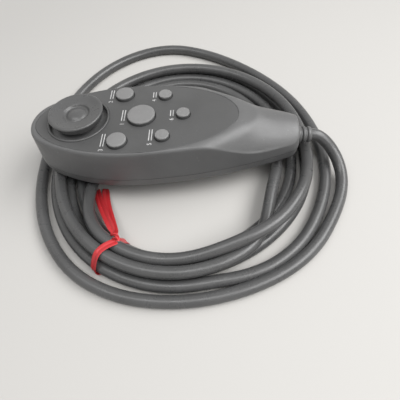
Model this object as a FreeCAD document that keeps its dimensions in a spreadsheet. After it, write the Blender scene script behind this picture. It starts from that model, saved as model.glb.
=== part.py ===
"""Hand control with a thumb stick and six keys, lying on its own coiled lead.

The frame has its origin at the middle of the control's box, +X towards the lead's exit, +Z out of the face.
Heights in the sheet are measured up from the control's flat underside unless the name says otherwise.
"""
import FreeCAD
import Part
import Sketcher
import math
import os
import re

SIZES = {
    # housing
    "body_length": 156.5, "body_width": 60.0, "body_height": 27.4, "wall": 2.0,
    "parting_height": 7.35, "nose_radius": 20.0, "widest_from_nose": 58.0,
    "tail_width": 22.6, "tail_corner": 8.0, "face_draft": 1.2, "base_draft": 0.8, "base_round": 3.5,
    "brow_round": 8.0, "shoulder_round": 2.0, "rim_gap": 0.1,
    # domed tail: a barrel about an axis along the body
    "dome_axis_height": 4.85, "dome_length": 70.5, "dome_start_clear": 1.8, "dome_end_clear": -0.2,
    "dome_overrun": 5.0, "dome_profile_radius": 1500.0,
    # face panel
    "panel_thickness": 0.8, "panel_margin": 2.4, "panel_from_nose": 4.4, "panel_to_tail": 35.5,
    "panel_edge": 0.3,
    # keys
    "key_rise": 2.3, "key_gap": 0.25, "key_edge": 0.5, "flange_lip": 1.0, "flange_thickness": 1.3,
    "flange_gap": 0.1, "stem_radius": 2.0,
    "large_key_radius": 8.0, "front_key_radius": 5.5, "rear_key_radius": 3.95, "tail_key_radius": 3.95,
    "large_key_from_stick": 36.5, "front_keys_before_large": 11.7, "rear_keys_behind_large": 12.85,
    "tail_key_behind_large": 23.85, "front_keys_aside": 19.2, "rear_keys_aside": 16.9,
    # circuit board and switches
    "board_height": 11.4, "board_thickness": 1.6, "board_inset": 5.0, "board_from_nose": 18.5,
    "board_to_tail": 46.5, "switch_side": 6.0, "switch_height": 3.5, "switch_floor": 1.0,
    "plunger_radius": 1.7, "plunger_rise": 1.0, "plunger_depth": 1.4, "plunger_gap": 0.08,
    "post_radius": 2.8, "front_posts_from_nose": 42.0, "front_posts_inset": 9.5,
    "rear_posts_from_tail": 54.0, "rear_posts_aside": 9.0,
    "board_screw_radius": 1.1, "board_screw_head_radius": 2.2, "board_screw_head_height": 1.6,
    "board_screw_bite": 5.5, "thread_gap": 0.05, "screw_hole_gap": 0.2,
    # case screws
    "boss_radius": 3.4, "pillar_radius": 4.4, "case_screw_radius": 1.4, "case_screw_head_radius": 2.7,
    "case_screw_head_height": 2.0, "case_screw_seat": 4.0, "case_screw_bite": 6.5, "head_hole_gap": 0.4,
    "front_screws_from_nose": 13.0, "front_screws_aside": 9.5,
    "rear_screws_from_tail": 31.5, "rear_screws_aside": 12.5,
    # thumb stick
    "stick_from_nose": 29.5, "knob_radius": 15.6, "knob_foot_radius": 14.0, "knob_rise": 6.5,
    "knob_skirt_rise": 1.6, "knob_hub_radius": 3.4, "knob_wall": 1.5, "knob_deck": 2.6,
    "knob_rim_round": 0.6, "dish_radius": 6.9, "cup_depth": 1.6, "dish_depth": 2.7, "dome_button_radius": 5.4,
    "dome_button_rise": 1.2, "rim_slope": 0.5, "rim_width": 1.6,
    "well_radius": 16.6, "well_depth": 2.5, "well_floor": 1.5, "well_hole_radius": 9.6,
    "bezel_width": 1.3, "bezel_rise": 0.8, "bezel_round": 0.35,
    "pivot_rise": 4.0, "unit_side": 17.0, "unit_height": 7.4, "unit_wall": 1.8, "unit_floor": 0.6,
    "yoke_radius": 6.2, "yoke_bore": 4.8, "yoke_height": 3.0, "yoke_pin_radius": 0.9,
    "pin_gap": 0.05, "pin_end_gap": 0.2, "hub_radius": 3.9, "hub_pin_radius": 0.8,
    "shaft_radius": 1.5, "shaft_foot_radius": 2.0, "shaft_foot_height": 0.4, "shaft_foot_gap": 0.1,
    "shaft_in_knob": 4.0, "skirt_radius": 10.5, "skirt_wall": 0.9, "skirt_edge_rise": 5.7,
    "spring_radius": 2.4, "spring_wire": 0.25, "spring_turns": 4.0, "spring_seat_gap": 0.05,
    "push_switch_radius": 2.4, "push_switch_height": 0.35,
    # strain relief and the lead's inner end
    "cable_radius": 3.5, "relief_length": 8.0, "relief_radius": 5.0, "relief_neck_radius": 4.2,
    "relief_fit": 0.05, "relief_flange": 2.0, "relief_tip_radius": 4.3, "rib_width": 1.6, "rib_gap": 1.3,
    "rib_depth": 0.9, "jacket_inside": 19.0, "clamp_from_tail": 12.5, "clamp_length": 6.0,
    "clamp_width": 21.0, "clamp_height": 2.2, "clamp_gap": 0.15, "clamp_screw_aside": 7.4,
    "clamp_screw_radius": 1.1, "clamp_screw_head_radius": 2.0, "clamp_screw_head_height": 1.4,
    "socket_length": 6.0, "socket_width": 12.0, "socket_height": 5.0, "wire_plug_length": 5.0,
    "wire_radius": 0.6, "wire_pitch": 2.0, "wire_spread": 1.5,
    # coil of the lead, its tie and its plug
    "coil_height": 14.4, "coil_outer_half_x": 83.6, "coil_outer_half_y": 93.3,
    "coil_inner_half_x": 59.1, "coil_inner_half_y": 71.6, "coil_outer_x": 5.5, "coil_inner_x": 4.5,
    "coil_y": 3.1, "coil_round": 3.0, "tie_width": 4.2, "tie_thickness": 0.8, "tie_turn": 117.0,
    "plug_x": -11.0, "plug_y": 30.0, "boot_length": 11.0, "boot_tip_radius": 4.0, "boot_radius": 5.2,
    "grip_length": 20.0, "grip_radius": 6.4, "grip_round": 1.0, "shell_radius": 4.75, "shell_wall": 0.4,
    "shell_length": 7.5, "insert_gap": 0.05, "insert_recess": 3.0, "contact_radius": 0.5,
    "contact_circle": 2.6, "contact_count": 7.0, "contact_back": 0.8, "floor_gap": 0.05,
}

doc = FreeCAD.newDocument("hand_control")
sheet = doc.addObject("Spreadsheet::Sheet", "Sizes")
for row, (alias, number) in enumerate(SIZES.items(), start=1):
    sheet.set(f"A{row}", alias)
    sheet.set(f"B{row}", str(number))
    sheet.setAlias(f"B{row}", alias)
doc.recompute()


def size(alias):
    """One driving dimension, read from the sheet."""
    return float(sheet.get(alias))


def bound(text):
    """An expression on the sheet: each word that is an alias gets the sheet's name."""
    def named(word):
        return "Sizes." + word.group(0) if word.group(0) in SIZES else word.group(0)
    return re.sub("[a-z_]+", named, text)


# Places that many pieces share, as expressions on the sheet
BASE = "(0 - (body_height + knob_rise) / 2)"
FACE = f"({BASE} + body_height)"
PARTING = f"({BASE} + parting_height)"
BOARD_TOP = f"({BASE} + board_height + board_thickness)"
PIVOT = f"({BOARD_TOP} + pivot_rise)"
NOSE = "(0 - body_length / 2)"
TAIL = "(body_length / 2)"
STICK_X = f"({NOSE} + stick_from_nose)"
LARGE_X = f"({STICK_X} + large_key_from_stick)"
FLOOR = f"({BASE} - coil_height)"
PANEL_LENGTH = "(body_length - panel_from_nose - panel_to_tail)"
PANEL_WIDTH = "(body_width - panel_margin * 2)"
BOARD_LENGTH = "(body_length - board_from_nose - board_to_tail)"


def bind(thing, **properties):
    for name, text in properties.items():
        thing.setExpression(name, bound(text))
    return thing


def place(thing, x="0", y="0", z="0"):
    for axis, text in (("x", x), ("y", y), ("z", z)):
        thing.setExpression(f"Placement.Base.{axis}", bound(text))
    return thing


LYING = {"+x": FreeCAD.Rotation(FreeCAD.Vector(0, 1, 0), 90),
         "-y": FreeCAD.Rotation(FreeCAD.Vector(1, 0, 0), 90)}


def cylinder(label, radius, height, x="0", y="0", z="0", lying=None):
    """A round bar that stands on x, y, z, or lies from there along +X or -Y."""
    bar = bind(doc.addObject("Part::Cylinder", label), Radius=radius, Height=height)
    if lying:
        bar.Placement.Rotation = LYING[lying]
    return place(bar, x, y, z)


def block(label, length, width, height, x="0", y="0", z="0"):
    """A box centred on x and y that stands on z."""
    solid = bind(doc.addObject("Part::Box", label), Length=length, Width=width, Height=height)
    return place(solid, f"({x}) - ({length}) / 2", f"({y}) - ({width}) / 2", z)


def fuse(label, shapes):
    joined = doc.addObject("Part::MultiFuse", label)
    joined.Shapes = shapes
    joined.Refine = True
    return joined


def common(label, shapes):
    shared = doc.addObject("Part::MultiCommon", label)
    shared.Shapes = shapes
    return shared


def cut(label, base, tool):
    rest = doc.addObject("Part::Cut", label)
    rest.Base = base
    rest.Tool = tool
    return rest


def group(label, shapes):
    """Like pieces that share one node."""
    together = doc.addObject("Part::Compound", label)
    together.Links = shapes
    return together


def rounded(label, base, radius, wanted):
    """The base with a fillet on each edge that the test picks by its middle point."""
    doc.recompute()
    fillet = doc.addObject("Part::Fillet", label)
    fillet.Base = base
    picked = []
    for number, edge in enumerate(base.Shape.Edges, start=1):
        middle = edge.valueAt((edge.FirstParameter + edge.LastParameter) / 2)
        if wanted(middle):
            picked.append((number, size(radius), size(radius)))
    fillet.Edges = picked
    return fillet


def turned(label, corners, along_x=False):
    """A body turned about its own Z axis from corners (radius, height), each an expression or 0."""
    body = doc.addObject("PartDesign::Body", label)
    plane = [p for p in body.Origin.OriginFeatures if p.Role == "XZ_Plane"][0]
    sketch = body.newObject("Sketcher::SketchObject", label + "_profile")
    sketch.AttachmentSupport = [(plane, "")]
    sketch.MapMode = "FlatFace"
    count = len(corners)
    seeds = [FreeCAD.Vector(5 + 3 * math.sin(i), 2 * i, 0) for i in range(count)]
    for i in range(count):
        sketch.addGeometry(Part.LineSegment(seeds[i], seeds[(i + 1) % count]), False)
    for i in range(count):
        sketch.addConstraint(Sketcher.Constraint("Coincident", i, 2, (i + 1) % count, 1))
    for i, (radius, height) in enumerate(corners):
        if radius == "0":
            sketch.addConstraint(Sketcher.Constraint("PointOnObject", i, 1, -2))
        else:
            across = sketch.addConstraint(Sketcher.Constraint("DistanceX", -1, 1, i, 1, seeds[i].x))
            sketch.setExpression(f"Constraints[{across}]", bound(radius))
        upward = sketch.addConstraint(Sketcher.Constraint("DistanceY", -1, 1, i, 1, seeds[i].y + 1))
        sketch.setExpression(f"Constraints[{upward}]", bound(height))
    turn = body.newObject("PartDesign::Revolution", label + "_turn")
    turn.Profile = sketch
    turn.ReferenceAxis = (sketch, ["V_Axis"])
    turn.Angle = 360
    if along_x:
        body.Placement.Rotation = LYING["+x"]
    return body


def soften(body, radius, circles):
    """A fillet on the turned body's circular edges at the given (radius, height) places."""
    doc.recompute()
    base = body.Tip
    names = []
    for number, edge in enumerate(base.Shape.Edges, start=1):
        if not hasattr(edge.Curve, "Radius"):
            continue
        spot = edge.Curve.Center
        for wide, high in circles:
            if abs(edge.Curve.Radius - wide) < 1e-4 and abs(spot.z - high) < 1e-4:
                names.append(f"Edge{number}")
    fillet = body.newObject("PartDesign::Fillet", body.Label + "_soft")
    fillet.Base = (base, names)
    bind(fillet, Radius=radius)
    return body


def tube(path_points, radius):
    """A round bar along straight runs joined by tangent arcs, each as large as its runs allow."""
    points = [FreeCAD.Vector(*p) for p in path_points]
    edges = []
    radii = []
    start = points[0]
    for before, here, after in zip(points, points[1:], points[2:]):
        back = before - here
        ahead = after - here
        trim = 0.45 * min(back.Length, ahead.Length)
        half_turn = (math.pi - back.getAngle(ahead)) / 2
        radii.append(trim / math.tan(half_turn))
        first = here + back * (trim / back.Length)
        last = here + ahead * (trim / ahead.Length)
        inward = (back * (1 / back.Length) + ahead * (1 / ahead.Length)).normalize()
        middle = here + inward * (radii[-1] / math.cos(half_turn) - radii[-1])
        edges.append(Part.LineSegment(start, first).toShape())
        edges.append(Part.Arc(first, middle, last).toShape())
        start = last
    edges.append(Part.LineSegment(start, points[-1]).toShape())
    path = Part.Wire(edges)
    ring = Part.Wire(Part.makeCircle(radius, points[0], points[1] - points[0]))
    bar = path.makePipeShell([ring], True, False)
    full = path.Length * math.pi * radius ** 2
    print(f"tube {path.Length:.1f} mm, volume {bar.Volume / full:.4f} of section times length, "
          f"radii {min(radii):.1f} to {max(radii):.1f}")
    return bar


def tube_node(label, path_points, radius):
    thing = doc.addObject("Part::Feature", label)
    thing.Shape = tube(path_points, radius)
    return thing


nodes = []


def node(thing):
    nodes.append(thing)
    return thing


# Housing outline: nose arc, side arcs, tail arcs, corner arcs and a short flat end, all tangent
def outline(inset):
    nose_x = -size("body_length") / 2
    tail_x = size("body_length") / 2
    widest_x = nose_x + size("widest_from_nose")
    half = size("body_width") / 2
    nose_r = size("nose_radius")
    reach = size("widest_from_nose") - nose_r
    side_r = (reach ** 2 + half ** 2 - nose_r ** 2) / (2 * (half - nose_r))
    drop = half - size("tail_width") / 2
    tail_r = ((tail_x - widest_x) ** 2 + drop ** 2) / (2 * drop)
    corner_r = size("tail_corner")
    corner_x = tail_x - corner_r
    corner_y = half - tail_r + math.sqrt((tail_r - corner_r) ** 2 - (corner_x - widest_x) ** 2)

    def arc_point(centre_x, centre_y, radius, angle):
        return (centre_x + radius * math.cos(angle), centre_y + radius * math.sin(angle))

    lean = math.atan2(side_r - half, nose_x + nose_r - widest_x)
    slope = math.atan2(corner_y - (half - tail_r), corner_x - widest_x)
    upright = math.pi / 2
    spans = [
        (nose_x + nose_r, 0, nose_r, math.pi, lean),
        (widest_x, half - side_r, side_r, lean, upright),
        (widest_x, half - tail_r, tail_r, upright, slope),
        (corner_x, corner_y, corner_r, slope, 0),
    ]
    upper = []
    for centre_x, centre_y, radius, start, end in spans:
        places = [arc_point(centre_x, centre_y, radius - inset, start + (end - start) * part)
                  for part in (0, 0.5, 1)]
        upper.append(places)
    edges = []
    for places in upper:
        edges.append(Part.Arc(*[FreeCAD.Vector(x, y, 0) for x, y in places]))
    end_x, end_y = upper[-1][-1]
    edges.append(Part.LineSegment(FreeCAD.Vector(end_x, end_y, 0), FreeCAD.Vector(end_x, -end_y, 0)))
    for places in reversed(upper):
        edges.append(Part.Arc(*[FreeCAD.Vector(x, -y, 0) for x, y in reversed(places)]))
    return Part.Wire([edge.toShape() for edge in edges])


def outline_at(label, inset, height):
    ring = doc.addObject("Part::Feature", label)
    ring.Shape = outline(inset)
    return place(ring, z=height)


def drafted(label, low, high):
    """A wall that leans in from the parting plane, between two outlines."""
    loft = doc.addObject("Part::Loft", label)
    loft.Sections = [low, high]
    loft.Solid = True
    loft.Ruled = True
    return loft


# Domed tail: everything under a barrel whose axis runs along the body
def dome(label, inset):
    axis = size("dome_axis_height")
    start_x = size("body_length") / 2 - size("dome_length")
    end_x = size("body_length") / 2 + size("dome_overrun")
    face_corner = math.hypot(size("body_width") / 2 - size("face_draft"), size("body_height") - axis)
    tail_corner = math.hypot(size("tail_width") / 2, size("parting_height") - axis)
    start_r = face_corner + size("dome_start_clear") - inset
    end_r = tail_corner + size("dome_end_clear") - inset
    front_x = -size("body_length")
    clear_r = size("body_length")
    chord = FreeCAD.Vector(end_x - start_x, 0, end_r - start_r)
    rise = chord.Length ** 2 / (8 * size("dome_profile_radius"))
    normal = FreeCAD.Vector(-chord.z, 0, chord.x).normalize()
    first = FreeCAD.Vector(start_x, 0, start_r)
    last = FreeCAD.Vector(end_x, 0, end_r)
    crown = first + chord * 0.5 + normal * rise
    corners = [last, FreeCAD.Vector(end_x, 0, 0), FreeCAD.Vector(front_x, 0, 0),
               FreeCAD.Vector(front_x, 0, clear_r), FreeCAD.Vector(start_x, 0, clear_r), first]
    edges = [Part.Arc(first, crown, last).toShape()]
    for here, there in zip(corners, corners[1:]):
        edges.append(Part.LineSegment(here, there).toShape())
    profile = doc.addObject("Part::Feature", label + "_profile")
    profile.Shape = Part.Face(Part.Wire(edges))
    barrel = doc.addObject("Part::Revolution", label)
    barrel.Source = profile
    barrel.Axis = FreeCAD.Vector(1, 0, 0)
    barrel.Angle = 360
    barrel.Solid = True
    return place(barrel, z=f"{BASE} + dome_axis_height")


def shell_form(label, inset, roof, ground):
    """The housing's upper and lower forms, moved in from the outside by an inset."""
    at_parting = outline_at(label + "_parting", inset, PARTING)
    at_face = outline_at(label + "_face", inset + size("face_draft"), roof)
    at_base = outline_at(label + "_base", inset + size("base_draft"), ground)
    upper_wall = drafted(label + "_upper_wall", at_parting, at_face)
    lower_wall = drafted(label + "_lower_wall", at_base, at_parting)
    upper = common(label + "_upper", [upper_wall, dome(label + "_dome", inset)])
    return upper, lower_wall


outer_upper, outer_lower = shell_form("outside", 0.0, FACE, BASE)
inner_upper, inner_lower = shell_form("inside", size("wall"), f"{FACE} - wall", f"{BASE} + wall")
doc.recompute()
face_z = size("body_height") / 2 - size("knob_rise") / 2
base_z = -(size("body_height") + size("knob_rise")) / 2
parting_z = base_z + size("parting_height")
close = 1e-3


def on_shoulder(spot):
    between = parting_z + close < spot.z < face_z - close
    return between and spot.x > 0 and abs(spot.y) > size("wall") and spot.x < size("body_length") / 2 - 1


def on_brow(spot):
    """The curved edge where the flat face runs out into the dome."""
    return abs(spot.z - face_z) < close and spot.x > 0 and abs(spot.y) < size("body_width") * 0.3


outer_lower = rounded("outside_lower_soft", outer_lower, "base_round", lambda p: abs(p.z - base_z) < close)
outer_upper = rounded("outside_brow_soft", outer_upper, "brow_round", on_brow)
outer_upper = rounded("outside_shoulder_soft", outer_upper, "shoulder_round", on_shoulder)

# Keys: one large, two medium, three small, all as radius, distance behind the large key and offset
KEYS = {
    "large_key": ("large_key_radius", "0", "0"),
    "far_front_key": ("front_key_radius", "0 - front_keys_before_large", "front_keys_aside"),
    "near_front_key": ("front_key_radius", "0 - front_keys_before_large", "0 - front_keys_aside"),
    "far_rear_key": ("rear_key_radius", "rear_keys_behind_large", "rear_keys_aside"),
    "near_rear_key": ("rear_key_radius", "rear_keys_behind_large", "0 - rear_keys_aside"),
    "tail_key": ("tail_key_radius", "tail_key_behind_large", "0"),
}


def key_places():
    for name, (radius, behind, aside) in KEYS.items():
        yield name, radius, f"{LARGE_X} + {behind}", aside


def four_places(front, front_aside, rear, rear_aside):
    """Two places near the nose and two near the tail, as expressions."""
    for along, aside in ((f"{NOSE} + {front}", front_aside), (f"{TAIL} - {rear}", rear_aside)):
        for side in ("", "0 - "):
            yield along, f"{side}{aside}"


CASE_SCREWS = list(four_places("front_screws_from_nose", "front_screws_aside",
                               "rear_screws_from_tail", "rear_screws_aside"))
BOARD_SCREWS = list(four_places("front_posts_from_nose", "(body_width / 2 - front_posts_inset)",
                                "rear_posts_from_tail", "rear_posts_aside"))

# Upper shell: wall, screw bosses, board posts and the stick's well, with holes for keys and panel
inside_ribs = []
pilot_holes = []
for number, (x, y) in enumerate(CASE_SCREWS):
    inside_ribs.append(cylinder(f"boss_{number}", "boss_radius", "body_height - parting_height",
                                x, y, PARTING))
    pilot_holes.append(cylinder(f"boss_hole_{number}", "case_screw_radius + thread_gap",
                                "case_screw_bite + thread_gap", x, y, PARTING))
for number, (x, y) in enumerate(BOARD_SCREWS):
    inside_ribs.append(cylinder(f"post_{number}", "post_radius",
                                "body_height - board_height - board_thickness", x, y, BOARD_TOP))
    pilot_holes.append(cylinder(f"post_hole_{number}", "board_screw_radius + thread_gap",
                                "board_screw_bite + thread_gap", x, y, BOARD_TOP))
inside_ribs.append(cylinder("well_wall", "well_radius + wall", "well_depth + well_floor", STICK_X, "0",
                            f"{FACE} - well_depth - well_floor"))
kept_ribs = common("ribs_inside_shell", [fuse("ribs", inside_ribs), outer_upper])
panel_edge = bind(doc.addObject("Part::Ellipse", "panel_pocket_edge"),
                  MajorRadius=f"{PANEL_LENGTH} / 2 + rim_gap", MinorRadius=f"{PANEL_WIDTH} / 2 + rim_gap")
place(panel_edge, f"{NOSE} + panel_from_nose + {PANEL_LENGTH} / 2", "0", f"{FACE} - panel_thickness")
panel_pocket = doc.addObject("Part::Extrusion", "panel_pocket")
panel_pocket.Base = panel_edge
panel_pocket.Dir = FreeCAD.Vector(0, 0, 1)
panel_pocket.DirMode = "Custom"
panel_pocket.Solid = True
bind(panel_pocket, LengthFwd="panel_thickness * 2")
openings = [panel_pocket]
for name, radius, x, y in key_places():
    openings.append(cylinder(name + "_hole", f"{radius} + key_gap", "body_height - parting_height", x, y,
                             f"{FACE} - wall * 2"))
openings.append(cylinder("well", "well_radius", "well_depth * 2", STICK_X, "0", f"{FACE} - well_depth"))
openings.append(cylinder("well_hole", "well_hole_radius", "body_height", STICK_X, "0",
                         f"{FACE} - well_depth * 2"))
relief_hole = cylinder("relief_hole", "relief_neck_radius + relief_fit", "wall * 4",
                       f"{TAIL} - wall * 2", "0", PARTING, lying="+x")
upper_blank = fuse("upper_blank", [cut("upper_wall_only", outer_upper, inner_upper), kept_ribs])
upper_holes = fuse("upper_holes", openings + pilot_holes + [relief_hole])
upper_shell = node(cut("upper_shell", upper_blank, upper_holes))

# Lower shell: wall, four screw pillars with head recesses, and the saddle that the lead lies in
pillars = []
screw_holes = []
for number, (x, y) in enumerate(CASE_SCREWS):
    pillars.append(cylinder(f"pillar_{number}", "pillar_radius", "parting_height", x, y, BASE))
    screw_holes.append(cylinder(f"screw_way_{number}", "case_screw_radius + screw_hole_gap",
                                "parting_height * 2", x, y, BASE))
    screw_holes.append(cylinder(f"head_recess_{number}", "case_screw_head_radius + head_hole_gap",
                                "case_screw_seat * 2", x, y, f"{BASE} - case_screw_seat"))
CLAMP_X = f"({TAIL} - clamp_from_tail)"
pillars.append(block("saddle", "clamp_length", "clamp_width", "parting_height - wall - clamp_gap", CLAMP_X,
                     "0", f"{BASE} + wall"))
cable_way = cylinder("cable_way", "cable_radius", "clamp_length * 2",
                     f"{CLAMP_X} - clamp_length", "0", PARTING, lying="+x")
clamp_holes = []
for side in ("", "0 - "):
    clamp_holes.append(cylinder(f"clamp_pilot_{len(clamp_holes)}", "clamp_screw_radius + thread_gap",
                                "parting_height", CLAMP_X, f"{side}clamp_screw_aside",
                                f"{BASE} + wall"))
kept_pillars = common("pillars_inside_shell", [fuse("pillar_set", pillars), outer_lower])
lower_blank = fuse("lower_blank", [cut("lower_wall_only", outer_lower, inner_lower), kept_pillars])
lower_holes = fuse("lower_holes", screw_holes + clamp_holes + [cable_way, relief_hole])
lower_shell = node(cut("lower_shell", lower_blank, lower_holes))

# Face panel: an oval plate that lies flush in the upper shell
plate_edge = bind(doc.addObject("Part::Ellipse", "panel_plate_edge"),
                  MajorRadius=f"{PANEL_LENGTH} / 2", MinorRadius=f"{PANEL_WIDTH} / 2")
place(plate_edge, f"{NOSE} + panel_from_nose + {PANEL_LENGTH} / 2", "0", f"{FACE} - panel_thickness")
plate = doc.addObject("Part::Extrusion", "panel_plate")
plate.Base = plate_edge
plate.Dir = FreeCAD.Vector(0, 0, 1)
plate.DirMode = "Custom"
plate.Solid = True
bind(plate, LengthFwd="panel_thickness")
plate = rounded("panel_plate_soft", plate, "panel_edge", lambda p: abs(p.z - face_z) < close)
panel_holes = []
for name, radius, x, y in key_places():
    panel_holes.append(cylinder(name + "_panel_hole", f"{radius} + key_gap", "body_height", x, y,
                                f"{FACE} - wall"))
panel_holes.append(cylinder("bezel_panel_hole", "well_radius + bezel_width + rim_gap", "body_height",
                            STICK_X, "0", f"{FACE} - wall"))
node(cut("face_panel", plate, fuse("panel_holes", panel_holes)))

# Ring around the stick's well, standing on the shell inside the panel's hole
bezel = turned("stick_bezel", [
    ("well_radius", "0 - panel_thickness"), ("well_radius + bezel_width", "0 - panel_thickness"),
    ("well_radius + bezel_width", "bezel_rise"), ("well_radius", "bezel_rise")])
bezel_rims = (size("well_radius"), size("well_radius") + size("bezel_width"))
soften(bezel, "bezel_round", [(rim, size("bezel_rise")) for rim in bezel_rims])
node(place(bezel, STICK_X, "0", FACE))

# Key caps: a round cap, a flange that stops under the shell and a stem down to the switch
STEM = "(body_height - board_height - board_thickness - switch_height - plunger_rise)"
for name, radius, x, y in key_places():
    cap = turned(name, [
        ("0", f"0 - {STEM}"), ("stem_radius", f"0 - {STEM}"),
        ("stem_radius", "0 - wall - flange_gap - flange_thickness"),
        (f"{radius} + flange_lip", "0 - wall - flange_gap - flange_thickness"),
        (f"{radius} + flange_lip", "0 - wall - flange_gap"), (radius, "0 - wall - flange_gap"),
        (radius, "key_rise"), ("0", "key_rise")])
    soften(cap, "key_edge", [(size(radius), size("key_rise"))])
    node(place(cap, x, y, FACE))

# Circuit board, hung under the posts, with holes for its screws
board_edge = outline_at("board_edge", size("board_inset"), f"{BASE} + board_height")
board_sheet = doc.addObject("Part::Extrusion", "board_sheet")
board_sheet.Base = board_edge
board_sheet.Dir = FreeCAD.Vector(0, 0, 1)
board_sheet.DirMode = "Custom"
board_sheet.Solid = True
bind(board_sheet, LengthFwd="board_thickness")
board_stretch = block("board_stretch", BOARD_LENGTH, "body_width", "body_height",
                      f"{NOSE} + board_from_nose + {BOARD_LENGTH} / 2", "0", BASE)
board_holes = []
for number, (x, y) in enumerate(BOARD_SCREWS):
    board_holes.append(cylinder(f"board_hole_{number}", "board_screw_radius + screw_hole_gap",
                                "body_height", x, y, BASE))
node(cut("circuit_board", common("board_plain", [board_sheet, board_stretch]),
         fuse("board_hole_set", board_holes)))

# Tactile switches: six square housings on the board, each with a round plunger under its key's stem
housings = []
for name, radius, x, y in key_places():
    case = block(name + "_switch_case", "switch_side", "switch_side", "switch_height", x, y, BOARD_TOP)
    bore = cylinder(name + "_switch_bore", "plunger_radius + plunger_gap", "switch_height", x, y,
                    f"{BOARD_TOP} + switch_floor")
    housings.append(cut(name + "_switch", case, bore))
    node(cylinder(name + "_plunger", "plunger_radius", "plunger_rise + plunger_depth", x, y,
                  f"{BOARD_TOP} + switch_height - plunger_depth"))
node(group("switch_housings", housings))


# Screws: a round head and a plain shank, turned in one piece, each set as one node
def screw(label, radius, length, head_radius, head_height):
    return turned(label, [
        ("0", f"0 - {head_height}"), (head_radius, f"0 - {head_height}"), (head_radius, "0"),
        (radius, "0"), (radius, length), ("0", length)])


board_screws = []
for number, (x, y) in enumerate(BOARD_SCREWS):
    one = screw(f"board_screw_{number}", "board_screw_radius", "board_thickness + board_screw_bite",
                "board_screw_head_radius", "board_screw_head_height")
    board_screws.append(place(one, x, y, f"{BASE} + board_height"))
node(group("board_screws", board_screws))
case_screws = []
for number, (x, y) in enumerate(CASE_SCREWS):
    one = screw(f"case_screw_{number}", "case_screw_radius",
                "parting_height - case_screw_seat + case_screw_bite", "case_screw_head_radius",
                "case_screw_head_height")
    case_screws.append(place(one, x, y, f"{BASE} + case_screw_seat"))
node(group("case_screws", case_screws))

# Thumb stick unit on the board: square base, yoke that tilts about X, hub that tilts about Y
unit_case = block("unit_case", "unit_side", "unit_side", "unit_height", STICK_X, "0", BOARD_TOP)
unit_room = block("unit_room", "unit_side - unit_wall * 2", "unit_side - unit_wall * 2", "unit_height",
                  STICK_X, "0", f"{BOARD_TOP} + unit_floor")
unit_pin_way = cylinder("unit_pin_way", "yoke_pin_radius + pin_gap", "unit_side * 2",
                        f"{STICK_X} - unit_side", "0", PIVOT, lying="+x")
node(cut("stick_base", unit_case, fuse("unit_hollow", [unit_room, unit_pin_way])))
yoke_ring = cut("yoke_ring", cylinder("yoke_disc", "yoke_radius", "yoke_height", STICK_X, "0",
                                      f"{PIVOT} - yoke_height / 2"),
                cylinder("yoke_hole", "yoke_bore", "yoke_height * 2", STICK_X, "0",
                         f"{PIVOT} - yoke_height"))
yoke_pin_span = "(unit_side / 2 - pin_end_gap - yoke_bore)"
yoke_pins = []
for side, start in (("far", "yoke_bore"), ("near", "0 - yoke_bore - " + yoke_pin_span)):
    yoke_pins.append(cylinder(f"yoke_pin_{side}", "yoke_pin_radius", yoke_pin_span, f"{STICK_X} + {start}",
                              "0", PIVOT, lying="+x"))
yoke_body = cut("yoke_body", fuse("yoke_with_pins", [yoke_ring] + yoke_pins),
                cylinder("yoke_clear", "yoke_bore", "yoke_height * 2", STICK_X, "0",
                         f"{PIVOT} - yoke_height"))
hub_pin_way = cylinder("hub_pin_way", "hub_pin_radius + pin_gap", "yoke_radius * 4", STICK_X,
                       "yoke_radius * 2", PIVOT, lying="-y")
node(cut("stick_yoke", yoke_body, hub_pin_way))
hub_core = cylinder("hub_core", "hub_radius", "yoke_height", STICK_X, "0", f"{PIVOT} - yoke_height / 2")
hub_pin = cylinder("hub_pin", "hub_pin_radius", "(yoke_radius - pin_end_gap) * 2", STICK_X,
                   "yoke_radius - pin_end_gap", PIVOT, lying="-y")
hub_bore = cylinder("hub_bore", "shaft_radius + pin_gap", "yoke_height * 2", STICK_X, "0",
                    f"{PIVOT} - yoke_height")
node(cut("stick_hub", fuse("hub_blank", [hub_core, hub_pin]), hub_bore))
node(cylinder("stick_push_switch", "push_switch_radius", "push_switch_height", STICK_X, "0",
              f"{BOARD_TOP} + unit_floor"))

# Stick: a footed shaft through the hub, a ball-shaped skirt, a return spring and the cupped knob
SHAFT_FOOT = "(0 - yoke_height / 2 - shaft_foot_gap)"
SHAFT_TOP = "(body_height - board_height - board_thickness - pivot_rise + shaft_in_knob)"
shaft = turned("stick_shaft", [
    ("0", f"{SHAFT_FOOT} - shaft_foot_height"), ("shaft_foot_radius", f"{SHAFT_FOOT} - shaft_foot_height"),
    ("shaft_foot_radius", SHAFT_FOOT), ("shaft_radius", SHAFT_FOOT), ("shaft_radius", SHAFT_TOP),
    ("0", SHAFT_TOP)])
node(place(shaft, STICK_X, "0", PIVOT))
skirt_ball = place(bind(doc.addObject("Part::Sphere", "skirt_ball"), Radius="skirt_radius"),
                   STICK_X, "0", PIVOT)
skirt_room = place(bind(doc.addObject("Part::Sphere", "skirt_room"), Radius="skirt_radius - skirt_wall"),
                   STICK_X, "0", PIVOT)
skirt_lower = block("skirt_lower", "skirt_radius * 4", "skirt_radius * 4", "skirt_radius * 2", STICK_X, "0",
                    f"{PIVOT} + skirt_edge_rise - skirt_radius * 2")
skirt_bore = cylinder("skirt_bore", "shaft_radius", "skirt_radius * 2", STICK_X, "0", PIVOT)
node(cut("stick_skirt", skirt_ball, fuse("skirt_hollow", [skirt_room, skirt_lower, skirt_bore])))
coil_gap = size("spring_wire") + size("spring_seat_gap")
spring_low = size("yoke_height") / 2 + coil_gap
skirt_roof = math.sqrt((size("skirt_radius") - size("skirt_wall")) ** 2 - size("spring_radius") ** 2)
spring_span = skirt_roof - coil_gap - size("spring_wire") - spring_low
BENDS_PER_TURN = 10
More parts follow.
